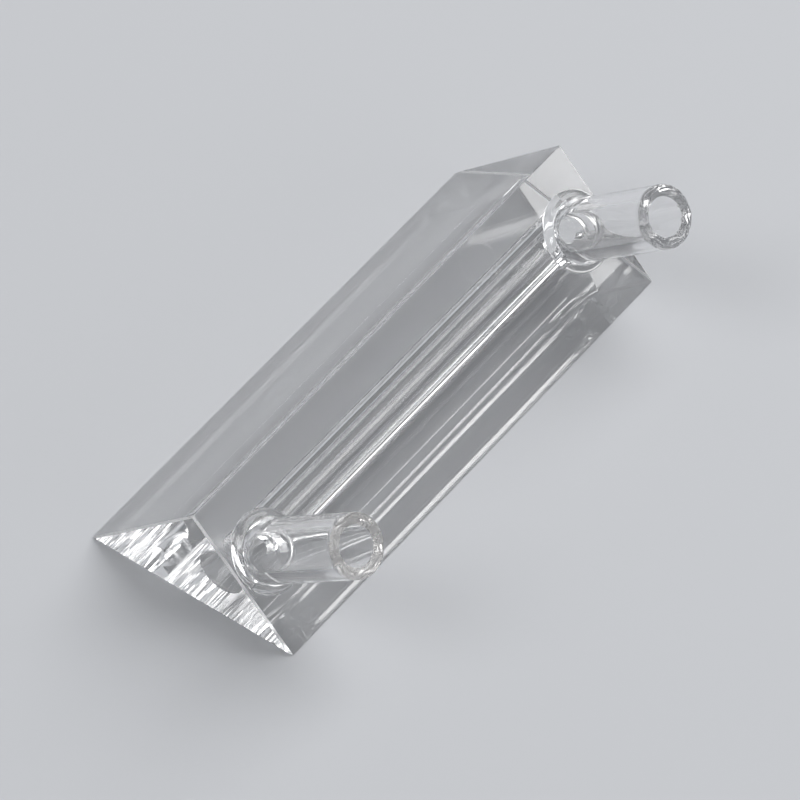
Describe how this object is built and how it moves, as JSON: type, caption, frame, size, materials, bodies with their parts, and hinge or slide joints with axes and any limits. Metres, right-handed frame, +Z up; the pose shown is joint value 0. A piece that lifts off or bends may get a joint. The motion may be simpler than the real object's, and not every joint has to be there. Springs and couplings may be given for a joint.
{
  "type": "flow-through prism cuvette",
  "caption": "Clear right-angle quartz prism with a closed round flow channel along it and fused side tubes on one sloping face to carry liquid in and out.",
  "frame": {"origin": "centre of the wide face that the prism rests on", "axes": "+X along the prism from the inlet tube to the outlet tube, +Z up from the resting face, tubes lean out towards -Y"},
  "size_m": [0.045, 0.0226, 0.0145],
  "materials": {
    "prism_glass": "clear fused quartz, optically polished faces, finely ground bevels along the edges",
    "tube_glass": "clear drawn quartz tube, flame-welded at the foot, cut rim left slightly rough"
  },
  "bodies": {
    "root": {"prism_body": "prism_glass", "inlet_tube": "tube_glass", "outlet_tube": "tube_glass"}
  },
  "joints": []
}
